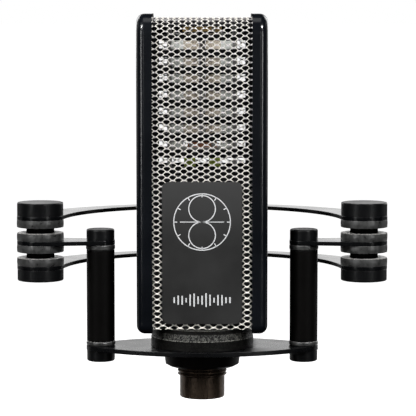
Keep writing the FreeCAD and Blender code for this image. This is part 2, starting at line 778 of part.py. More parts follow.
def post_set(x):
    low = PLATE_TOP + POST_RING_LOW
    high = ARM_BOTTOM - POST_RING_UP
    pipe = tube(POST_R, ROD_R + RUN, low, high, x)
    rings = [post_ring(PLATE_TOP, POST_RING_LOW, x), post_ring(high, POST_RING_UP, x)]
    caps = [post_cap(ARM_TOP, POST_TOP, x, True), post_cap(POST_CAP_BOTTOM, PLATE_BOTTOM, x, False)]
    pin = rod(ROD_R, POST_CAP_BOTTOM + ROD_FLOOR, POST_TOP - ROD_FLOOR, x)
    return pipe, rings, caps, pin


left_post = post_set(-POST_X)
right_post = post_set(POST_X)
keep("carrier_plate", carrier_plate())
keep("arm_left", arm(-1))
keep("arm_right", arm(1))
keep("post_left", left_post[0])
keep("post_right", right_post[0])
keep("post_rings", *(left_post[1] + right_post[1]))
keep("post_caps_upper", left_post[2][0], right_post[2][0])
keep("post_caps_lower", left_post[2][1], right_post[2][1])
keep("post_rods", left_post[3], right_post[3])


# --- lock ring ----------------------------------------------------------------------------------


def lock_ring():
    """A shallow dished nut that pulls the microphone's thread down onto the carrier plate."""
    bore = THREAD_R + RUN
    top = PLATE_BOTTOM - LOCK_WASHER_T
    return turned([
        (bore, LOCK_BOTTOM + 0.4), (bore + 0.4, LOCK_BOTTOM), (LOCK_LOW_R - 1.6, LOCK_BOTTOM),
        (LOCK_LOW_R, LOCK_BOTTOM + 0.9), (LOCK_R, top - 0.5), (LOCK_R - 0.5, top), (bore, top),
    ])


keep("ring_washer", tube(LOCK_R - 1.0, THREAD_R + RUN, PLATE_BOTTOM - LOCK_WASHER_T, PLATE_BOTTOM))
keep("lock_ring", lock_ring())


# --- crescent plates and isolator stacks --------------------------------------------------------


def crescent_arcs():
    """Centre and radius of the outer and inner arcs, tangent to the round ends."""
    end = ARM_STACK_R
    reach = CRESCENT_APEX - end
    outer_y = (reach ** 2 - STACK_X ** 2) / (2 * reach)
    outer = (outer_y, CRESCENT_APEX - outer_y)
    inner = (CRESCENT_INNER_Y, math.hypot(STACK_X, CRESCENT_INNER_Y) - end)
    return outer, inner


def crescent_edges():
    end = ARM_STACK_R
    (outer_y, outer_r), (inner_y, inner_r) = crescent_arcs()
    far = math.atan2(-outer_y, STACK_X)
    near = math.atan2(inner_y, -STACK_X)
    middle = (far + near) / 2
    edges = []
    tips = []
    for side in SIDES:
        turn = [at(side * p.x, p.y, 0) for p in (
            polar(STACK_X, 0, end, far), polar(STACK_X, 0, end, middle), polar(STACK_X, 0, end, near))]
        edges.append(arc(*turn))
        tips.append(turn)
    edges.append(arc(tips[0][0], at(0, outer_y + outer_r, 0), tips[1][0]))
    edges.append(arc(tips[0][2], at(0, inner_y + inner_r, 0), tips[1][2]))
    return edges


def frame_screw(x, z_face, up):
    """A round-headed screw down through a plate into the rear block, or up into it from below."""
    step = 1 if up else -1
    head = sorted((z_face, z_face + step * HEAD_T))
    shank = sorted((z_face, z_face - step * FRAME_SCREW_LENGTH))
    top = HEAD_EDGE if up else 0.0
    bottom = 0.0 if up else HEAD_EDGE
    return fused([
        tube(HEAD_R, 0, head[0], head[1], x, FRAME_SCREW_Y, top=top, bottom=bottom),
        rod(FRAME_SCREW_R, shank[0], shank[1], x, FRAME_SCREW_Y),
    ])


def frame_screw_set():
    below = LOWER_PLATE_Z - CLEVIS_BASE_T
    return [
        frame_screw(side * FRAME_SCREW_X, z, up)
        for z, up in ((UPPER_PLATE_Z + PLATE2_T, True), (below, False))
        for side in SIDES
    ]


def crescent_plate(z0):
    plate = prism(crescent_edges(), z0, z0 + PLATE2_T)
    holes = [rod(STUD_R + RUN, z0 - 1, z0 + 5, s * STACK_X) for s in SIDES]
    holes += [rod(FRAME_SCREW_R, z0 - 1, z0 + 5, s * FRAME_SCREW_X, FRAME_SCREW_Y) for s in SIDES]
    return plate.cut(holes)


def stack_cap(x, upper):
    """A broad round cap, its outer rim rounded, with a blind hole for the stud."""
    inside = UPPER_PLATE_Z + PLATE2_T if upper else LOWER_PLATE_Z
    outside = inside + CAP_UP_H if upper else inside - CAP_LOW_H
    cap = rod(CAP_R, min(inside, outside), max(inside, outside), x)
    rim = [e for e in cap.Edges if e.Closed and abs(e.BoundBox.ZMin - outside) < RUN]
    return cap.makeFillet(CAP_EDGE, rim).cut(stack_stud(x))


def isolator(z0, x):
    """A rubber spool: two broad flanges and a neck, with a clear bore round the stud."""
    bore = STUD_R + ISOLATOR_ROOM
    z1 = z0 + ISOLATOR_H
    edge = ISOLATOR_EDGE
    low, high = z0 + FLANGE_T, z1 - FLANGE_T
    return turned([
        (bore, z0), (FLANGE_R - edge, z0), (FLANGE_R, z0 + edge), (FLANGE_R, low - edge),
        (FLANGE_R - edge, low), (ISOLATOR_NECK_R, low), (ISOLATOR_NECK_R, high),
        (FLANGE_R - edge, high), (FLANGE_R, high + edge), (FLANGE_R, z1 - edge),
        (FLANGE_R - edge, z1), (bore, z1),
    ], x)


def stack_stud(x):
    low = LOWER_PLATE_Z - CAP_LOW_H + CAP_FLOOR
    high = UPPER_PLATE_Z + PLATE2_T + CAP_UP_H - CAP_FLOOR
    return rod(STUD_R, low, high, x)


keep("upper_crescent_plate", crescent_plate(UPPER_PLATE_Z))
keep("lower_crescent_plate", crescent_plate(LOWER_PLATE_Z))
keep("stack_caps_upper", *[stack_cap(s * STACK_X, True) for s in SIDES])
keep("stack_caps_lower", *[stack_cap(s * STACK_X, False) for s in SIDES])
keep("stack_studs", *[stack_stud(s * STACK_X) for s in SIDES])
for word, x in (("left", -STACK_X), ("right", STACK_X)):
    keep("isolator_upper_" + word, isolator(ARM_TOP, x))
    keep("isolator_lower_" + word, isolator(ARM_BOTTOM - ISOLATOR_H, x))


# --- rear block, clevis and stand socket --------------------------------------------------------

def rear_block():
    """A spacer between the crescent plates, its faces following their arcs."""
    (outer_y, outer_r), (inner_y, inner_r) = crescent_arcs()
    z0, z1 = LOWER_PLATE_Z + PLATE2_T, UPPER_PLATE_Z
    band = rod(outer_r - BLOCK_INSET, z0, z1, 0, outer_y)
    band = band.cut(rod(inner_r + BLOCK_INSET, z0, z1, 0, inner_y))
    block = band.common(box(-BLOCK_HALF_X, BLOCK_HALF_X, 0, CRESCENT_APEX, z0, z1))
    return block.cut(frame_screw_set())


def ear(x0, x1, bottom_radius, top):
    """A plate round the pivot, square above it and round below it."""
    round_end = cross_rod(bottom_radius, x0, x1, REAR, PIVOT_Z)
    upper = box(x0, x1, REAR - bottom_radius, REAR + bottom_radius, PIVOT_Z, top)
    return fused([round_end, upper])


def swivel_clevis():
    top = LOWER_PLATE_Z
    base = box(-BLOCK_HALF_X, BLOCK_HALF_X, REAR - EAR_R, REAR + EAR_R, top - CLEVIS_BASE_T, top)
    ears = [ear(min(s * EAR_IN, s * EAR_OUT), max(s * EAR_IN, s * EAR_OUT), EAR_R, top - CLEVIS_BASE_T)
            for s in SIDES]
    clevis = fused([base] + ears)
    return clevis.cut([cross_rod(BOLT_R + SEAT, -20, 20, REAR, PIVOT_Z)] + frame_screw_set())


def stand_socket():
    """A round socket for the stand's thread, with a tongue that the clevis grips."""
    bevel = 0.8
    barrel = tube(SOCKET_R, 0, 0, SOCKET_TOP, 0, REAR, top=bevel, bottom=bevel)
    tongue = cross_rod(TONGUE_R, -TONGUE_HALF_X, TONGUE_HALF_X, REAR, PIVOT_Z)
    root = box(-TONGUE_HALF_X, TONGUE_HALF_X, REAR - TONGUE_R, REAR + TONGUE_R, SOCKET_TOP - 1, PIVOT_Z)
    socket = fused([barrel, tongue, root])
    bore = rod(STAND_THREAD_R, -1, STAND_THREAD_DEPTH, 0, REAR)
    return socket.cut([bore, cross_rod(BUSH_R + SEAT, -20, 20, REAR, PIVOT_Z)])


def tongue_bush():
    bush = cross_rod(BUSH_R, -TONGUE_HALF_X, TONGUE_HALF_X, REAR, PIVOT_Z)
    return bush.cut(cross_rod(BOLT_R + RUN, -20, 20, REAR, PIVOT_Z))


def pivot_bolt():
    """A hexagon-headed bolt from the left ear through the tongue and into the knob."""
    x = -EAR_OUT - WASHER_T
    corner_r = BOLT_ACROSS / 2 / math.cos(math.pi / 6)
    corners = []
    for k in range(6):
        turn = k * math.pi / 3
        corners.append(at(x, corner_r * math.cos(turn), PIVOT_Z + corner_r * math.sin(turn)))
    head = Part.Face(Part.makePolygon(corners + corners[:1])).extrude(at(-BOLT_HEAD_T, 0, 0))
    return fused([head, cross_rod(BOLT_R, x, KNOB_X1 - 3.0, REAR, PIVOT_Z)])


def pivot_washer(side):
    x0, x1 = sorted((side * EAR_OUT, side * (EAR_OUT + WASHER_T)))
    return cross_rod(WASHER_R, x0, x1, REAR, PIVOT_Z).cut(cross_rod(BOLT_R + SEAT, -20, 20, REAR, PIVOT_Z))


def knob_insert():
    """The threaded brass core of the knob, turning on the bolt."""
    core = cross_rod(KNOB_HUB_R - 1.0, EAR_OUT + WASHER_T + RUN, KNOB_X1 - 2.0, REAR, PIVOT_Z)
    return core.cut(cross_rod(BOLT_R + RUN, 0, KNOB_X1 - 2.5, REAR, PIVOT_Z))


def swivel_knob():
    """A fluted clamping knob with a narrower hub."""
    hub = cross_rod(KNOB_HUB_R, EAR_OUT + WASHER_T + RUN, KNOB_X0, REAR, PIVOT_Z)
    grip = cross_rod(KNOB_R, KNOB_X0, KNOB_X1, REAR, PIVOT_Z)
    rims = [e for e in grip.Edges if e.Closed]
    grip = grip.makeChamfer(0.9, rims)
    flutes = []
    for k in range(FLUTES):
        turn = k * 2 * math.pi / FLUTES
        y = REAR + FLUTE_CIRCLE * math.cos(turn)
        z = PIVOT_Z + FLUTE_CIRCLE * math.sin(turn)
        flutes.append(cross_rod(FLUTE_R, KNOB_X0 - 1, KNOB_X1 + 1, y, z))
    pocket = cross_rod(KNOB_HUB_R - 1.0 + SEAT, 0, KNOB_X1 - 2.0, REAR, PIVOT_Z)
    return fused([hub, grip]).cut(flutes + [pocket])


keep("rear_block", rear_block())
keep("frame_screws", *frame_screw_set())
keep("swivel_clevis", swivel_clevis())
keep("pivot_bolt", pivot_bolt())
keep("pivot_washers", pivot_washer(-1), pivot_washer(1))
keep("knob_insert", knob_insert())
keep("swivel_knob", swivel_knob())
keep("stand_socket", stand_socket())
keep("tongue_bush", tongue_bush())


# --- one STEP file per piece --------------------------------------------------------------------

os.makedirs("parts", exist_ok=True)
for name, shape in nodes.items():
    broken = [s for s in shape.Solids if not s.isValid() or s.Volume <= 0]
    assert shape.Solids and not broken, name
    shape.exportStep("parts/" + name + ".step")
print(len(nodes), "nodes,", sum(len(shape.Solids) for shape in nodes.values()), "solids")
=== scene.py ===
import json
import math

import bpy
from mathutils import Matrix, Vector


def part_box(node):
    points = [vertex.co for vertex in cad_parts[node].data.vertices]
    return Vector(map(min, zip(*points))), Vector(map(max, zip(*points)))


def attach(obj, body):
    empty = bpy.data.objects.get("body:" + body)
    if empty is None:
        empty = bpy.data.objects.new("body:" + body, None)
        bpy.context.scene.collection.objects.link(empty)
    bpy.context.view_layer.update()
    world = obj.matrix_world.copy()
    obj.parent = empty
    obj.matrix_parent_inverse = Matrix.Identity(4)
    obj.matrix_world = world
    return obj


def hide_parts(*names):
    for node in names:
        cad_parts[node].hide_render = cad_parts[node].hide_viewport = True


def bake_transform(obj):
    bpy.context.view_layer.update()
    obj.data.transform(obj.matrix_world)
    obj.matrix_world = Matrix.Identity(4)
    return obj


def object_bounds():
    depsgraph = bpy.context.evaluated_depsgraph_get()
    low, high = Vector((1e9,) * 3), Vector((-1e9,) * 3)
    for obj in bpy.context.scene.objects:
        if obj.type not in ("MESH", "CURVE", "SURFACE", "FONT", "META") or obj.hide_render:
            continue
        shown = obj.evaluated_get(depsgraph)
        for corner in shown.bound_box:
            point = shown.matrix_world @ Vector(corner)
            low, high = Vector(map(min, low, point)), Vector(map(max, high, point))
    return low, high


# Looks of a ribbon microphone in its rubber-isolated yoke. Metres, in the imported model's frame.

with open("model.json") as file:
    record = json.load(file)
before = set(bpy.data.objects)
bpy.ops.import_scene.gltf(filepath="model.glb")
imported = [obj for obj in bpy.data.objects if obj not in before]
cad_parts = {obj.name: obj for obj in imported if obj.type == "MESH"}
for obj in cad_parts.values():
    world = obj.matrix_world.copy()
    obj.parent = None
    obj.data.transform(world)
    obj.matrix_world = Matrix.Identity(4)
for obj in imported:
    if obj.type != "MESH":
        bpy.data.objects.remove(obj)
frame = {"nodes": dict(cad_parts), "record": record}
cad_low, cad_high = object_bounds()
nodes = frame["nodes"]
MM = 0.001


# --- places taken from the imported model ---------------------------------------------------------

grille_low, grille_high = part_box("mesh_grille")
rail_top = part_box("side_rail_right")[1].z
badge_low, badge_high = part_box("badge_plate")
MIC = (grille_low + grille_high) / 2


# --- node helpers -------------------------------------------------------------------------------

BEVEL_SAMPLES = 4
EDGE_TURN = (0.995, 0.90)      # the eased normal's dot product with the plain one, off an edge and on it


class Nodes:
    """A material's node tree, with short ways to add and join nodes."""

    def __init__(self, name):
        self.material = bpy.data.materials.new(name)
        self.material.use_nodes = True
        self.tree = self.material.node_tree
        self.tree.nodes.clear()
        self.out = self.tree.nodes.new("ShaderNodeOutputMaterial")
        self.shader = self.tree.nodes.new("ShaderNodeBsdfPrincipled")
        self.tree.links.new(self.shader.outputs[0], self.out.inputs[0])
        self.place = self.tree.nodes.new("ShaderNodeTexCoord").outputs["Object"]

    def put(self, socket, value):
        """Link a node's output to a socket, or set the socket to a plain value."""
        if isinstance(value, bpy.types.NodeSocket):
            self.tree.links.new(value, socket)
        else:
            socket.default_value = value

    def set(self, **inputs):
        """Set the shader's inputs by name, with _ for each space."""
        for name, value in inputs.items():
            self.put(self.shader.inputs[name.replace("_", " ")], value)

    def stretched(self, scale):
        """The object's own coordinates, multiplied along each axis."""
        node = self.tree.nodes.new("ShaderNodeVectorMath")
        node.operation = "MULTIPLY"
        self.put(node.inputs[0], self.place)
        node.inputs[1].default_value = scale
        return node.outputs[0]

    def noise(self, size, detail=2.0, roughness=0.5, stretch=(1, 1, 1), distortion=0.0):
        """Noise whose blobs are about size metres across."""
        node = self.tree.nodes.new("ShaderNodeTexNoise")
        self.put(node.inputs["Vector"], self.stretched(stretch))
        node.inputs["Scale"].default_value = 1 / size
        node.inputs["Detail"].default_value = detail
        node.inputs["Roughness"].default_value = roughness
        node.inputs["Distortion"].default_value = distortion
        return node.outputs["Fac"]

    def cells(self, size):
        """Distance from the middles of scattered cells about size metres across."""
        node = self.tree.nodes.new("ShaderNodeTexVoronoi")
        self.put(node.inputs["Vector"], self.place)
        node.inputs["Scale"].default_value = 1 / size
        return node.outputs["Distance"]

    def painted(self):
        """The shade laid on a piece's points: 0 on open ground, 1 in its recesses."""
        node = self.tree.nodes.new("ShaderNodeAttribute")
        node.attribute_name = "shade"
        return node.outputs["Fac"]

    def height(self):
        """Height in the model's frame, where every piece has its origin."""
        node = self.tree.nodes.new("ShaderNodeSeparateXYZ")
        self.put(node.inputs[0], self.place)
        return node.outputs["Z"]

    def upward(self):
        """How far a surface faces the piece's own top: 1 on top, 0 on a wall."""
        node = self.tree.nodes.new("ShaderNodeSeparateXYZ")
        self.put(node.inputs[0], self.tree.nodes.new("ShaderNodeTexCoord").outputs["Normal"])
        return node.outputs["Z"]

    def ramp(self, value, low, high, out_low=0.0, out_high=1.0):
        """value from low to high turned into out_low to out_high, and held there beyond."""
        node = self.tree.nodes.new("ShaderNodeMapRange")
        self.put(node.inputs["Value"], value)
        node.inputs["From Min"].default_value = low
        node.inputs["From Max"].default_value = high
        node.inputs["To Min"].default_value = out_low
        node.inputs["To Max"].default_value = out_high
        return node.outputs[0]

    def blend(self, share, first, second):
        """One colour turning into another as share goes from 0 to 1."""
        node = self.tree.nodes.new("ShaderNodeMix")
        node.data_type = "RGBA"
        self.put(node.inputs["Factor"], share)
        self.put(node.inputs["A"], (*first, 1) if isinstance(first, tuple) else first)
        self.put(node.inputs["B"], (*second, 1) if isinstance(second, tuple) else second)
        return node.outputs["Result"]

    def maths(self, operation, first, second):
        node = self.tree.nodes.new("ShaderNodeMath")
        node.operation = operation
        self.put(node.inputs[0], first)
        self.put(node.inputs[1], second)
        return node.outputs[0]

    def bump(self, height, depth, strength=1.0, after=None):
        """A normal with relief depth metres deep, on top of the normal named by after."""
        node = self.tree.nodes.new("ShaderNodeBump")
        self.put(node.inputs["Height"], height)
        node.inputs["Distance"].default_value = depth
        self.put(node.inputs["Strength"], strength)
        if after is not None:
            self.put(node.inputs["Normal"], after)
        return node.outputs[0]

    def eased(self, radius):
        """The surface's normal with every edge eased to a small radius, so that edges catch the light."""
        bevel = self.tree.nodes.new("ShaderNodeBevel")
        bevel.samples = BEVEL_SAMPLES
        bevel.inputs["Radius"].default_value = radius
        return bevel.outputs[0]

    def edges(self, radius):
        """1 on edges sharper than radius, 0 on flat ground, from how far easing them turns the normal."""
        flat = self.tree.nodes.new("ShaderNodeNewGeometry").outputs["Normal"]
        dot = self.tree.nodes.new("ShaderNodeVectorMath")
        dot.operation = "DOT_PRODUCT"
        self.put(dot.inputs[0], self.eased(radius))
        self.put(dot.inputs[1], flat)
        return self.ramp(dot.outputs["Value"], *EDGE_TURN)


# --- materials ----------------------------------------------------------------------------------


def scaled(colour, factor):
    return tuple(factor * part for part in colour)


def enamel(
        name, base, roughness, grain=0.35 * MM, grain_depth=0.006 * MM, wear_and_edge_highlight=(0.06, 0.06, 0.06),
        specular=0.5, painted_sheen=None, ease=0.35 * MM):
    """Satin enamel on metal: fine powder grain, uneven gloss, rubbed edges and a little dust. The rubbed
    edges are worn paint, and on the caps a pale bluish painted highlight.

    painted_sheen is (low, high, colour): a painted sheen, the lighter tone that the enamel reaches between
    two heights. ease is the radius that edges are shaded with.
    """
    m = Nodes(name)
    cloud = m.noise(14 * MM, 3)
    fine = m.noise(grain, 3, 0.6)
    dust = m.ramp(m.noise(0.5 * MM, 4, 0.75), 0.70, 0.80)
    edge_wear_and_highlight = m.maths("MULTIPLY", m.edges(0.25 * MM), m.ramp(m.noise(2.5 * MM, 3), 0.42, 0.62))
    tone = m.blend(m.ramp(cloud, 0.3, 0.7), scaled(base, 0.82), scaled(base, 1.2))
    # painted sheen: the tone turns lighter between two heights, towards the badge's top
    if painted_sheen:
        low, high, brighter = painted_sheen
        tone = m.blend(m.ramp(m.height(), low, high), tone, brighter)
    tone = m.blend(m.maths("MULTIPLY", dust, 0.25), tone, (0.10, 0.10, 0.095))
    # rubbed edges in the worn colour: worn paint, and on the caps a pale bluish painted highlight
    tone = m.blend(m.maths("MULTIPLY", edge_wear_and_highlight, 0.55), tone, wear_and_edge_highlight)
    uneven = m.maths("ADD", cloud, m.maths("MULTIPLY", fine, 0.5))
    gloss = m.ramp(uneven, 0.4, 1.1, roughness - 0.05, roughness + 0.07)
    normal = m.bump(fine, grain_depth, after=m.eased(ease) if ease else None)
    m.set(Base_Color=tone, Roughness=gloss, Specular_IOR_Level=specular, Normal=normal)
    return m.material


def crinkle(name):
    """Black wrinkle finish: tight worm-like ridges, deep, with painted light on the ridges of its upward
    faces.
    """
    m = Nodes(name)
    worms = m.noise(0.9 * MM, 2, 0.55, distortion=1.4)
    pores = m.cells(0.8 * MM)
    height = m.maths("ADD", worms, m.maths("MULTIPLY", pores, 0.6))
    tone = m.blend(m.ramp(worms, 0.42, 0.66), (0.001, 0.001, 0.001), (0.008, 0.0078, 0.007))
    # painted light: pale on the ridges of faces that look up, where light from above falls
    painted_top_light = m.maths("MULTIPLY", m.ramp(m.upward(), 0.15, 0.5), m.ramp(worms, 0.46, 0.6))
    tone = m.blend(painted_top_light, tone, (0.18, 0.18, 0.16))
    relief = m.ramp(m.upward(), 0.1, 0.5, 0.35, 1.0)
    m.set(Base_Color=tone, Roughness=m.ramp(worms, 0.3, 0.7, 0.55, 0.36))
    m.set(Normal=m.bump(height, 0.3 * MM, relief))
    m.set(Specular_IOR_Level=m.ramp(m.upward(), 0.1, 0.5, 0.14, 0.25))
    return m.material


def expanded_silver(name):
    """Warm silver plating on the grille: satin, slight tarnish, and painted shade on the webs between
    openings.
    """
    m = Nodes(name)
    patch = m.noise(9 * MM, 3)
    fine = m.noise(0.25 * MM, 3, 0.6)
    tone = m.blend(m.ramp(patch, 0.3, 0.75), (0.98, 0.95, 0.87), (0.92, 0.89, 0.82))
    tone = m.blend(m.ramp(fine, 0.55, 0.8, 0.0, 0.5), tone, (0.74, 0.72, 0.68))
    # painted shade on the webs, from the shade laid on the points, stronger higher on the sheet
    painted_web_shade = m.maths("MULTIPLY", m.painted(), m.ramp(m.height(), 35 * MM, 95 * MM, 0.25, 0.85))
    tone = m.blend(painted_web_shade, tone, (0.22, 0.205, 0.235))
    m.set(Base_Color=tone, Metallic=0.3, Roughness=m.ramp(fine, 0.3, 0.7, 0.34, 0.5))
    m.set(Normal=m.bump(fine, 0.01 * MM))
    return m.material


def rubber(name, base):
    """Matt moulded rubber with a chalky bloom, scuffs and painted shade in its recesses."""
    m = Nodes(name)
    bloom = m.noise(2.2 * MM, 4, 0.6)
    fine = m.noise(0.3 * MM, 4, 0.7)
    scuff = m.ramp(m.noise(1.2 * MM, 4, 0.7, (1, 1, 6)), 0.6, 0.8)
    tone = m.blend(m.ramp(bloom, 0.35, 0.7), scaled(base, 0.6), scaled(base, 1.5))
    tone = m.blend(m.maths("MULTIPLY", scuff, 0.3), tone, (0.11, 0.11, 0.105))
    powder = m.ramp(m.noise(0.7 * MM, 4, 0.75), 0.40, 0.62)
    chalk = m.maths("MULTIPLY", m.ramp(m.upward(), 0.6, 0.95), powder)
    tone = m.blend(m.maths("MULTIPLY", chalk, 0.8), tone, (0.85, 0.83, 0.80))
    # painted shade: near black in the recesses, with no specular there
    tone = m.blend(m.painted(), tone, (0.003, 0.003, 0.003))
    m.set(Base_Color=tone, Roughness=m.ramp(bloom, 0.35, 0.7, 0.27, 0.5))
    m.set(Specular_IOR_Level=m.ramp(m.painted(), 0.0, 1.0, 0.6, 0.0), Normal=m.bump(fine, 0.02 * MM, 0.8))
    return m.material


def turned_metal(name, base, roughness, metallic, dirt, streak=(1, 1, 40)):
    """Machined metal: fine turning marks that run as streak says, dirty stains and brighter edges."""
    m = Nodes(name)
    lines = m.noise(3 * MM, 3, 0.6, streak)
    stain = m.noise(2.2 * MM, 5, 0.65)
    tone = m.blend(m.ramp(stain, 0.45, 0.75, 0, 0.6), base, dirt)
    bright = tuple(min(1, 1.5 * part + 0.05) for part in base)
    tone = m.blend(m.maths("MULTIPLY", m.edges(0.15 * MM), 0.4), tone, bright)
    uneven = m.maths("ADD", lines, m.maths("MULTIPLY", stain, 0.6))
    gloss = m.ramp(uneven, 0.5, 1.1, roughness - 0.06, roughness + 0.12)
    m.set(Base_Color=tone, Metallic=metallic, Roughness=gloss, Normal=m.bump(lines, 0.006 * MM))
    return m.material


def plastic(name, base, roughness):
    """Moulded plastic or board: slightly cloudy, with a fine grain."""
    m = Nodes(name)
    fine = m.noise(0.4 * MM, 3, 0.6)
    cloud = m.noise(6 * MM, 3)
    tone = m.blend(m.ramp(cloud, 0.3, 0.7), scaled(base, 0.85), scaled(base, 1.2))
    m.set(Base_Color=tone, Roughness=m.ramp(fine, 0.3, 0.7, roughness - 0.05, roughness + 0.08))
    m.set(Normal=m.bump(fine, 0.012 * MM))
    return m.material


WIRE_WAVES = 350               # the wave texture's scale, about one wave for each turn of wire


def wound_copper(name):
    """Enamelled wire, layer on layer, with painted shade in the grooves between its turns."""
    m = Nodes(name)
    wave = m.tree.nodes.new("ShaderNodeTexWave")
    wave.bands_direction = "Z"
    m.put(wave.inputs["Vector"], m.place)
    wave.inputs["Scale"].default_value = WIRE_WAVES
    wave.inputs["Distortion"].default_value = 0.6
    # each wave is one turn: its dark half is painted shade in the groove beside it
    tone = m.blend(wave.outputs["Fac"], (0.16, 0.05, 0.02), (0.55, 0.22, 0.09))
    m.set(Base_Color=tone, Metallic=0.8, Roughness=0.35, Normal=m.bump(wave.outputs["Fac"], 0.12 * MM))
    return m.material


def printed(name):
    """Pale silk-screened ink, slightly uneven."""
    m = Nodes(name)
    fine = m.noise(0.3 * MM, 3, 0.7)
    m.set(Base_Color=m.blend(m.ramp(fine, 0.35, 0.7), (0.60, 0.61, 0.62), (0.74, 0.75, 0.76)))
    m.set(Roughness=0.5, Normal=m.bump(fine, 0.01 * MM))
    return m.material


# One finish for each material slot of the record.
paint = {
    "satin_black": enamel("satin_black", (0.0022, 0.0024, 0.0028), 0.27, specular=0.36),
    "crinkle_black": crinkle("crinkle_black"),
    "badge_grey": enamel(
        "badge_grey", (0.018, 0.018, 0.018), 0.46, grain=0.5 * MM, grain_depth=0.004 * MM, specular=0.35,
        painted_sheen=(54 * MM, 84 * MM, (0.041, 0.041, 0.041))),
    "mesh_silver": expanded_silver("mesh_silver"),
    "rubber_grey": rubber("rubber_grey", (0.030, 0.0305, 0.030)),
    "dark_brass": turned_metal(
        "dark_brass", (0.085, 0.062, 0.045), 0.28, 0.85, (0.010, 0.008, 0.007), (5, 5, 0.4)),
    "steel": turned_metal("steel", (0.40, 0.39, 0.375), 0.34, 1.0, (0.12, 0.115, 0.11)),
    "black_steel": turned_metal("black_steel", (0.035, 0.035, 0.037), 0.36, 0.8, (0.012, 0.012, 0.012)),
    "brass": turned_metal("brass", (0.74, 0.50, 0.20), 0.3, 1.0, (0.3, 0.18, 0.07)),
    "copper": turned_metal("copper", (0.62, 0.28, 0.16), 0.35, 1.0, (0.25, 0.1, 0.06)),
    "aluminium_foil": turned_metal("aluminium_foil", (0.86, 0.86, 0.88), 0.22, 1.0, (0.6, 0.6, 0.62)),
    "pole_iron": turned_metal("pole_iron", (0.66, 0.58, 0.48), 0.5, 0.2, (0.36, 0.31, 0.25)),
    "magnet_nickel": turned_metal("magnet_nickel", (0.90, 0.92, 0.88), 0.4, 0.25, (0.66, 0.68, 0.64)),
    "board_green": plastic("board_green", (0.34, 0.42, 0.07), 0.35),
    "black_plastic": plastic("black_plastic", (0.012, 0.012, 0.013), 0.42),
    "winding_copper": wound_copper("winding_copper"),
}
ink = printed("badge_ink")
rail_black = enamel("rail_black", (0.0031, 0.0039, 0.0056), 0.17, grain_depth=0.003 * MM, ease=None)
matt_black = enamel("matt_black", (0.0012, 0.0010, 0.0009), 0.5, wear_and_edge_highlight=(0.02, 0.02, 0.02), specular=0.08)
# The caps' worn colour is a pale bluish painted highlight on their edges.
cap_black = enamel(
    "cap_black", (0.0030, 0.0032, 0.0036), 0.33, wear_and_edge_highlight=(0.09, 0.095, 0.105), specular=0.2, ease=0.5 * MM)
bar_black = enamel("bar_black", (0.0022, 0.0024, 0.0028), 0.17, specular=0.36)
yoke_steel = turned_metal("yoke_steel", (0.40, 0.39, 0.37), 0.5, 0.5, (0.03, 0.03, 0.028))

# Pieces whose own finish differs a little from the rest of their slot.
own_finishes = (
    (rail_black, ("side_rail_left", "side_rail_right")),
    (matt_black, ("post_left", "post_right", "lock_ring")),
    (cap_black, ("stack_caps_upper", "stack_caps_lower", "post_caps_upper", "post_caps_lower")),
    (bar_black, ("upper_crescent_plate", "lower_crescent_plate", "arm_left", "arm_right")),
    (yoke_steel, ("motor_yoke",)),
)


def dress(obj, slot):
    """Give a piece a slot's finish."""
    obj.data.materials.clear()
    obj.data.materials.append(paint[slot])


slot_of = {subpart["node"]: subpart["material_slot"] for subpart in frame["record"]["subparts"]}
for name, obj in nodes.items():
    dress(obj, slot_of[name])
for finish, names in own_finishes:
    for name in names:
        nodes[name].data.materials[0] = finish


# --- mesh helpers -------------------------------------------------------------------------------


def piece(name, points, faces, body, slot, sharp=40.0, stands_for=(), shades=()):
    """A mesh piece, smooth up to the sharp angle in degrees, that rides on a body if one is named."""
    mesh = bpy.data.meshes.new(name)
    mesh.from_pydata([tuple(p) for p in points], [], faces)
    mesh.validate()
    if shades:
        mesh.attributes.new("shade", "FLOAT", "POINT").data.foreach_set("value", shades)
    mesh.shade_smooth()
    mesh.set_sharp_from_angle(angle=math.radians(sharp))
    obj = bpy.data.objects.new(name, mesh)
    bpy.context.scene.collection.objects.link(obj)
    dress(obj, slot)
    if body:
        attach(obj, body)
    if stands_for:
        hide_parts(*stands_for)
    return obj


def turned(profile, centre, around=96):
    """Points and faces of a closed profile of (radius, height) turned about a vertical axis."""
    points, faces = [], []
    count = len(profile)
    for k in range(around):
        turn = 2 * math.pi * k / around
        for radius, height in profile:
            points.append((centre.x + radius * math.cos(turn), centre.y + radius * math.sin(turn), height))
    for k in range(around):
        here, there = k * count, (k + 1) % around * count
        for i in range(count):
            j = (i + 1) % count
            faces.append((here + i, there + i, there + j, here + j))
    return points, faces


CORNER_SHARE = 0.45            # the most of a side that one corner's curve may take


def rounded(corners, radius, steps=5):
    """The closed outline through corners, each corner turned into a small curve."""
    out = []
    count = len(corners)
    for i in range(count):
        bend = Vector(corners[i])
        before = Vector(corners[i - 1]) - bend
        after = Vector(corners[(i + 1) % count]) - bend
        cut = min(radius, before.length * CORNER_SHARE, after.length * CORNER_SHARE)
        start = bend + before.normalized() * cut
        end = bend + after.normalized() * cut
        for k in range(steps + 1):
            t = k / steps
            out.append(tuple((1 - t) ** 2 * start + 2 * t * (1 - t) * bend + t ** 2 * end))
    return out


# --- expanded-metal grille ----------------------------------------------------------------------

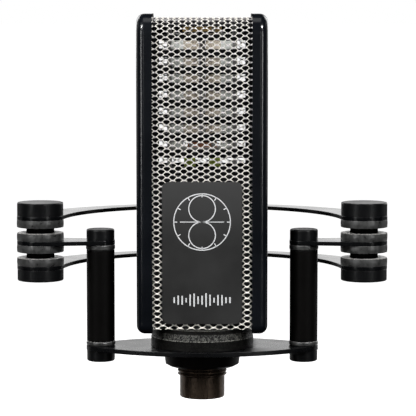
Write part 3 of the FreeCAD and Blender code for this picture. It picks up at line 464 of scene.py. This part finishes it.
MESH_COLUMN = 2.475 * MM       # from one column of openings to the next, which lies half a pitch higher
MESH_PITCH = 2.557 * MM        # from one opening to the next one above it
MESH_SWING = 0.46 * MM         # how far each strand swings to either side of its straight line
MESH_RIDGE = 0.17 * MM         # half the width of a strand
MESH_T = 0.30 * MM
MESH_BEND = 7.3 * MM
MESH_LEAN = 0.0093             # the sheet was cut slightly askew: columns lean and rows climb
MESH_CLIMB = 0.0145
MESH_START_X = 0.11 * MM       # one opening, from the middle of the front's lower edge
MESH_START_UP = 2.21 * MM
MESH_HIDDEN = 24.3 * MM        # the sheet's edges, inside the rails
COLUMNS = 21
ROWS = 6                       # rows of faces from one opening to the next
STEPS = 3                      # faces from the middle of a column to the strand at its side
HALFWAY = 0.60                 # where the halfway lane is, from the middle of a column to the rim
# The lanes from a strand to the middle of its column: the crest, the rim, halfway, the middle. For each,
# in mm, how high an opening's arched upper edge and its lower edge are, and how far behind the crest.
UPPER_EDGE = (0.20, 0.22, 0.62, 0.80)
LOWER_EDGE = (-0.23, -0.06, -0.82, -1.27)
UPPER_DEPTH = (0.0, 0.12, 0.20, 0.24)
LOWER_DEPTH = (0.0, 0.16, 0.44, 0.56)
# How much painted shade each lane's points carry: none on the crest, most in the middle of its column.
LANE_SHADE = (0.0, 0.1, 0.8, 1.0)

SHEET_FLAT = grille_high.z - MESH_BEND - grille_low.z
SHEET_CROWN = grille_high.y - grille_low.y - 2 * MESH_BEND
SHEET_LENGTH = 2 * SHEET_FLAT + math.pi * MESH_BEND + SHEET_CROWN


def sheet_profile(along):
    """Place and outward direction on the sheet's front half, in the plane across its width."""
    front = grille_low.y - MIC.y
    quarter = MESH_BEND * math.pi / 2
    if along < SHEET_FLAT:
        return front, grille_low.z + along, -1.0, 0.0
    if along < SHEET_FLAT + quarter:
        turn = (along - SHEET_FLAT) / MESH_BEND
        side, rise = math.cos(turn), math.sin(turn)
        return front + MESH_BEND * (1 - side), grille_low.z + SHEET_FLAT + MESH_BEND * rise, -side, rise
    return front + MESH_BEND + along - SHEET_FLAT - quarter, grille_high.z, 0.0, 1.0


def sheet_point(x, along, depth):
    """A point of the bent sheet: along runs up the front, over the top and down the back."""
    at_back = along > SHEET_LENGTH / 2
    y, z, out_y, out_z = sheet_profile(SHEET_LENGTH - along if at_back else along)
    flip = -1.0 if at_back else 1.0
    return (x, MIC.y + flip * (y - out_y * depth), z - out_z * depth)


# The flat pattern. A face has a column, a row, counted up from the lower edge, and a step across its column,
# from -STEPS at the strand on the left to STEPS at the strand on the right.


def shift_of(column):
    """Rows that a column's openings lie above those of its neighbours."""
    return ROWS // 2 if column % 2 else 0


def level(below, lane):
    """Height and depth of a row below an opening: row 0 is its upper edge, row 1 its lower edge."""
    if below == 0:
        return UPPER_EDGE[lane] * MM, UPPER_DEPTH[lane] * MM
    share = (below - 1) / (ROWS - 1)
    next_edge = UPPER_EDGE[lane] * MM - MESH_PITCH
    height = (1 - share) * LOWER_EDGE[lane] * MM + share * next_edge
    depth = (1 - share) * LOWER_DEPTH[lane] * MM + share * UPPER_DEPTH[lane] * MM
    return height, depth


def reach(height):
    """How far a strand's crest is from the middle of its column at a height."""
    return MESH_COLUMN / 2 + MESH_SWING * math.cos(2 * math.pi * height / MESH_PITCH)


def own_corner(column, step):
    """A corner on the strand on the left belongs to the column on the left."""
    return (column - 1, STEPS) if step == -STEPS else (column, step)


def corner(column, row, step):
    """Where a face's corner lies: across, along the sheet, and how far behind the crest."""
    column, step = own_corner(column, step)
    below = (-(row + shift_of(column))) % ROWS
    lane = STEPS - abs(step)
    height, depth = level(below, lane)
    rim = reach(level(below, 1)[0]) - MESH_RIDGE
    x = (reach(height), rim, rim * HALFWAY, 0.0)[lane]
    u = (column - COLUMNS // 2) * MESH_COLUMN + math.copysign(x, step)
    v = (row + below) * MESH_PITCH / ROWS + height
    return MESH_START_X + u - MESH_LEAN * v, MESH_START_UP + v + MESH_CLIMB * u, depth


def is_metal(column, row, step):
    """Whether there is metal between this row and the next, right of this step."""
    if not 0 <= column < COLUMNS:
        return False
    if (row + shift_of(column)) % ROWS == ROWS - 1 and 1 - STEPS <= step < STEPS - 1:
        return False
    corners = [corner(column, r, s) for r in (row, row + 1) for s in (step, step + 1)]
    if max(c[0] for c in corners) <= -MESH_HIDDEN or min(c[0] for c in corners) >= MESH_HIDDEN:
        return False
    return max(c[1] for c in corners) > 0 and min(c[1] for c in corners) < SHEET_LENGTH


def neighbours(column, row, step):
    """The faces below, right of, above and left of a face."""
    left = (column, row, step - 1) if step > -STEPS else (column - 1, row, STEPS - 1)
    right = (column, row, step + 1) if step < STEPS - 1 else (column + 1, row, -STEPS)
    return (column, row - 1, step), right, (column, row + 1, step), left


def expanded_metal(first_row, last_row):
    """Points, faces and shades of the sheet between two rows."""
    index, points, faces, shades = {}, [], [], []
    across = range(-STEPS, STEPS)
    metal = {
        (c, r, s): is_metal(c, r, s)
        for c in range(-1, COLUMNS + 1) for r in range(first_row - 1, last_row + 1) for s in across
    }

    def vertex(column, row, step, back):
        column, step = own_corner(column, step)
        key = (column, row, step, back)
        if key not in index:
            x, along, depth = corner(column, row, step)
            x = min(max(x, -MESH_HIDDEN), MESH_HIDDEN)
            along = min(max(along, 0.0), SHEET_LENGTH)
            index[key] = len(points)
            points.append(sheet_point(x, along, depth + (MESH_T if back else 0.0)))
            shades.append(LANE_SHADE[STEPS - abs(step)])
        return index[key]

    for column in range(COLUMNS):
        for row in range(first_row, last_row):
            for step in across:
                if not metal[column, row, step]:
                    continue
                corners = ((row, step), (row, step + 1), (row + 1, step + 1), (row + 1, step))
                front = [vertex(column, r, s, False) for r, s in corners]
                back = [vertex(column, r, s, True) for r, s in corners]
                faces.append(tuple(front))
                faces.append(tuple(reversed(back)))
                for i, near in enumerate(neighbours(column, row, step)):
                    if not metal[near]:
                        j = (i + 1) % 4
                        faces.append((front[j], front[i], back[i], back[j]))
    return points, faces, shades


def make_grille():
    """The sheet in two halves that meet on top. The rows go past its lower edges, and are cut there."""
    half = int(SHEET_LENGTH / MESH_PITCH / 2) * ROWS
    for name, first, last in (("grille_front", -2 * ROWS, half), ("grille_rear", half, 2 * half + 3 * ROWS)):
        points, faces, shades = expanded_metal(first, last)
        piece(name, points, faces, "microphone", "mesh_silver", 50.0, ["mesh_grille"], shades)


make_grille()


# --- rubber isolators ---------------------------------------------------------------------------

ISOLATOR_BORE = 3.2 * MM
ISOLATOR_NECK = 6.2 * MM
ISOLATOR_FLANGE = 3.4 * MM
ISOLATOR_DRAFT = 0.1 * MM      # how far a wall leans for the mould
ISOLATOR_ROUND = 0.2 * MM


def make_isolator(node):
    """A moulded spool with soft edges, leaning walls and a waisted neck, in the place of the isolator part.
    """
    low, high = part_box(node)
    centre = (low + high) / 2
    outer = (high.x - low.x) / 2
    rim, waist = outer - ISOLATOR_DRAFT, ISOLATOR_NECK + ISOLATOR_DRAFT
    low_top, high_bottom = low.z + ISOLATOR_FLANGE, high.z - ISOLATOR_FLANGE

    def wall(bottom, top):
        return [(rim, bottom), (outer, (bottom + top) / 2), (rim, top)]

    profile = [
        (ISOLATOR_BORE, low.z), *wall(low.z, low_top), (waist, low_top), (ISOLATOR_NECK, centre.z),
        (waist, high_bottom), *wall(high_bottom, high.z), (ISOLATOR_BORE, high.z),
    ]
    outline = rounded(profile, ISOLATOR_ROUND)
    points, faces = turned(outline, centre)
    # The neck and the bore carry painted shade.
    recessed = [float(radius < waist + ISOLATOR_ROUND) for radius, _ in outline]
    shades = recessed * (len(points) // len(outline))
    obj = piece(node + "_rubber", points, faces, None, "rubber_grey", 60.0, [node], shades)
    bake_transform(obj)


for side in ("left", "right"):
    make_isolator("isolator_upper_" + side)
    make_isolator("isolator_lower_" + side)


# --- badge art ----------------------------------------------------------------------------------

LINE_W = 0.42 * MM
LINE_T = 0.06 * MM
CHART_UP = 0.72                # how high the chart and the graph are, as shares of the badge's height
GRAPH_UP = 0.17
CHART_R = 12.4 * MM
LOBE_R = CHART_R * 0.47
AXIS_HALF = CHART_R * 0.78
AXIS_W = LINE_W * 0.8
TICKS = 12
TICK_LENGTH = 1.5 * MM
BARS = 15
BAR_PITCH = 1.75 * MM
BAR_W = 0.62 * MM
BAR_LEAST = 0.9 * MM           # half the height of the shortest bar, and what the tallest has on top of it
BAR_SWING = 2.2 * MM
BAR_WAVE = 0.9                 # the bars' heights follow a sine, this many radians from one bar to the next
BAR_PHASE = 0.5
BAR_FADE = 1.2                 # and they get lower towards each end by a cosine of this many radians


def stroke(outline, closed, width=LINE_W):
    """Points and faces of a flat raised line along (x, z) points on the badge."""
    points, faces = [], []
    count = len(outline)
    front = badge_low.y - LINE_T
    for i, spot in enumerate(outline):
        before = Vector(outline[i - 1] if closed or i else spot)
        after = Vector(outline[(i + 1) % count] if closed or i < count - 1 else spot)
        along = (after - before).normalized()
        side = Vector((-along.y, along.x)) * width / 2
        for sign, y in ((1, front), (-1, front), (-1, badge_low.y), (1, badge_low.y)):
            points.append((spot[0] + sign * side.x, y, spot[1] + sign * side.y))
    spans = count if closed else count - 1
    for i in range(spans):
        here, there = 4 * i, 4 * ((i + 1) % count)
        for k in range(4):
            j = (k + 1) % 4
            faces.append((here + k, here + j, there + j, there + k))
    if not closed:
        faces += [(3, 2, 1, 0), tuple(4 * (count - 1) + k for k in range(4))]
    return points, faces


def gathered(shapes):
    """Several (points, faces) as one."""
    points, faces = [], []
    for shape_points, shape_faces in shapes:
        start = len(points)
        points += shape_points
        faces += [tuple(start + i for i in face) for face in shape_faces]
    return points, faces


def ring_line(x, z, radius, steps=72):
    """The (x, z) points of a circle."""
    return [
        (x + radius * math.cos(2 * math.pi * k / steps), z + radius * math.sin(2 * math.pi * k / steps))
        for k in range(steps)
    ]


def inked(name, shapes):
    """Strokes as one piece of raised ink on the badge."""
    points, faces = gathered(shapes)
    piece(name, points, faces, "microphone", "badge_grey").data.materials[0] = ink


def pickup_chart(middle_z):
    """A figure-of-eight pickup pattern on a polar chart with an axis and ticks."""
    shapes = [stroke(ring_line(0, middle_z, CHART_R), True)]
    shapes += [stroke(ring_line(0, middle_z + s * LOBE_R, LOBE_R), True) for s in (-1, 1)]
    for k in range(TICKS):
        turn = 2 * math.pi * k / TICKS
        ends = (CHART_R - TICK_LENGTH, CHART_R)
        shapes.append(stroke([(r * math.cos(turn), middle_z + r * math.sin(turn)) for r in ends], False))
    shapes.append(stroke([(-AXIS_HALF, middle_z), (AXIS_HALF, middle_z)], False, AXIS_W))
    return shapes


def level_graph(middle_z):
    """A row of bars of uneven height, lower towards its ends."""
    bars = []
    middle = (BARS - 1) / 2
    for k in range(BARS):
        x = (k - middle) * BAR_PITCH
        fade = math.cos(BAR_FADE * (k - middle) / middle)
        half = BAR_LEAST + BAR_SWING * abs(math.sin(BAR_WAVE * k + BAR_PHASE)) * fade
        bars.append(stroke([(x, middle_z - half), (x, middle_z + half)], False, BAR_W))
    return bars


badge_height = badge_high.z - badge_low.z
inked("badge_symbol", pickup_chart(badge_low.z + CHART_UP * badge_height))
inked("badge_level_graph", level_graph(badge_low.z + GRAPH_UP * badge_height))


# --- stage, light and camera --------------------------------------------------------------------

FLOOR_DROP = 0.20              # how far the floor is below the object
FLOOR_FRONT = 0.15             # where the floor starts, behind the object
FLOOR_HALF = 30.0
CAMERA_AWAY = 0.9513           # the camera's place: in front of the grille's middle, and at the rails' top
CAMERA_SIDE = 0.0026
CAMERA_ABOVE = 0.0009
LOOK_DOWN = 5.254              # degrees
LENS = 185.0
ROOM = 0.008                   # brightness of the dim room, of the band in front and of the strip behind
FRONT_BAND = 0.11
REAR_STRIP = 1.3
SIDES = (("left", -1, 45), ("right", 1, 39))    # each side's sign, and the azimuth of its card
KEY_CLOSER = 2                 # how many degrees closer to the camera's side each key stands than its card


def make_floor():
    """A pale floor below and behind the object, bright enough to run into the white background."""
    z = cad_low.z - FLOOR_DROP
    near, far = FLOOR_FRONT, 2 * FLOOR_HALF
    corners = [(-FLOOR_HALF, near, z), (FLOOR_HALF, near, z), (FLOOR_HALF, far, z), (-FLOOR_HALF, far, z)]
    mesh = bpy.data.meshes.new("floor")
    mesh.from_pydata(corners, [], [(0, 1, 2, 3)])
    floor = bpy.data.objects.new("floor", mesh)
    bpy.context.scene.collection.objects.link(floor)
    m = Nodes("floor_pale")
    seen = m.tree.nodes.new("ShaderNodeLightPath").outputs["Is Camera Ray"]
    m.set(Base_Color=(0.9, 0.9, 0.9, 1), Roughness=0.9, Specular_IOR_Level=0.1)
    m.set(Emission_Color=(1, 1, 1, 1), Emission_Strength=seen)
    mesh.materials.append(m.material)


def make_world():
    """White to the camera. To the object: a dim room, a low grey band in front and a pale strip behind.

    The band and the strip are laid out by direction: X is right, Y is away from the camera, Z is up.
    """
    world = bpy.data.worlds.new("studio")
    bpy.context.scene.world = world
    world.use_nodes = True
    tree = world.node_tree
    split = tree.nodes.new("ShaderNodeSeparateXYZ")
    tree.links.new(tree.nodes.new("ShaderNodeTexCoord").outputs["Generated"], split.inputs[0])

    def step(axis, start, end):
        """0 before start and 1 after end along an axis, with a smooth rise between."""
        node = tree.nodes.new("ShaderNodeMapRange")
        node.interpolation_type = "SMOOTHSTEP"
        tree.links.new(split.outputs[axis], node.inputs["Value"])
        node.inputs["From Min"].default_value = start
        node.inputs["From Max"].default_value = end
        return node.outputs[0]

    def maths(operation, *values):
        """Several values joined by one operation."""
        out = values[0]
        for value in values[1:]:
            node = tree.nodes.new("ShaderNodeMath")
            node.operation = operation
            for socket, item in zip(node.inputs, (out, value)):
                if isinstance(item, float):
                    socket.default_value = item
                else:
                    tree.links.new(item, socket)
            out = node.outputs[0]
        return out

    in_front = step("Y", -0.3, -0.9)
    band = maths("MULTIPLY", in_front, step("Z", -0.16, 0.03), step("Z", 0.55, 0.15), FRONT_BAND)
    behind = maths("MULTIPLY", step("X", -0.16, -0.10), step("X", 0.16, 0.10), step("Y", 0.0, 0.1))
    strip = maths("MULTIPLY", behind, step("Z", 0.01, 0.05), step("Z", 0.38, 0.28), REAR_STRIP)
    room = maths("ADD", band, strip, ROOM)
    seen = tree.nodes.new("ShaderNodeLightPath").outputs["Is Camera Ray"]
    back = tree.nodes["Background"]
    back.inputs["Color"].default_value = (1, 1, 1, 1)
    tree.links.new(maths("MAXIMUM", seen, room), back.inputs["Strength"])


def softbox(name, azimuth, elevation, away, wide, tall, watts):
    """An area light that faces the microphone. Its angles are in degrees, azimuth from the camera's side."""
    light = bpy.data.lights.new(name, "AREA")
    light.shape = "RECTANGLE"
    light.size, light.size_y = wide, tall
    light.energy = watts
    obj = bpy.data.objects.new(name, light)
    bpy.context.scene.collection.objects.link(obj)
    a, e = math.radians(azimuth), math.radians(elevation)
    back = Vector((math.sin(a) * math.cos(e), -math.cos(a) * math.cos(e), math.sin(e)))
    obj.location = MIC + back * away
    obj.rotation_mode = "QUATERNION"
    obj.rotation_quaternion = (-back).to_track_quat("-Z", "Y")


def make_lights():
    """Keys, cards, thin strips, side and rear lights in pairs, and one light from the top."""
    for word, side, turn in SIDES:
        softbox("key_" + word, side * (turn - KEY_CLOSER), 40, 1.3, 0.22, 0.26, 14)
        softbox("card_" + word, side * turn, 7, 1.3, 0.12, 0.5, 2.4)
        softbox("strip_" + word, side * 15, 8, 1.4, 0.05, 0.45, 0.2)
        softbox("side_" + word, side * 112, 14, 1.3, 0.6, 0.9, 0.8)
        softbox("rear_" + word, side * 150, 18, 1.3, 0.5, 0.8, 4)
    softbox("top", 0, 86, 1.2, 0.6, 0.6, 1.3)


def make_camera():
    """A long lens in front of the microphone, looking down a little."""
    camera = bpy.data.cameras.new("camera")
    camera.lens = LENS
    camera.sensor_width = 36.0
    camera.clip_start, camera.clip_end = 0.01, 100
    obj = bpy.data.objects.new("camera", camera)
    bpy.context.scene.collection.objects.link(obj)
    obj.location = (CAMERA_SIDE, MIC.y - CAMERA_AWAY, rail_top + CAMERA_ABOVE)
    obj.rotation_euler = (math.radians(90 - LOOK_DOWN), 0, 0)
    bpy.context.scene.camera = obj


make_floor()
make_world()
make_lights()
make_camera()
view = bpy.context.scene.view_settings
view.view_transform = "Standard"
view.look = "None"
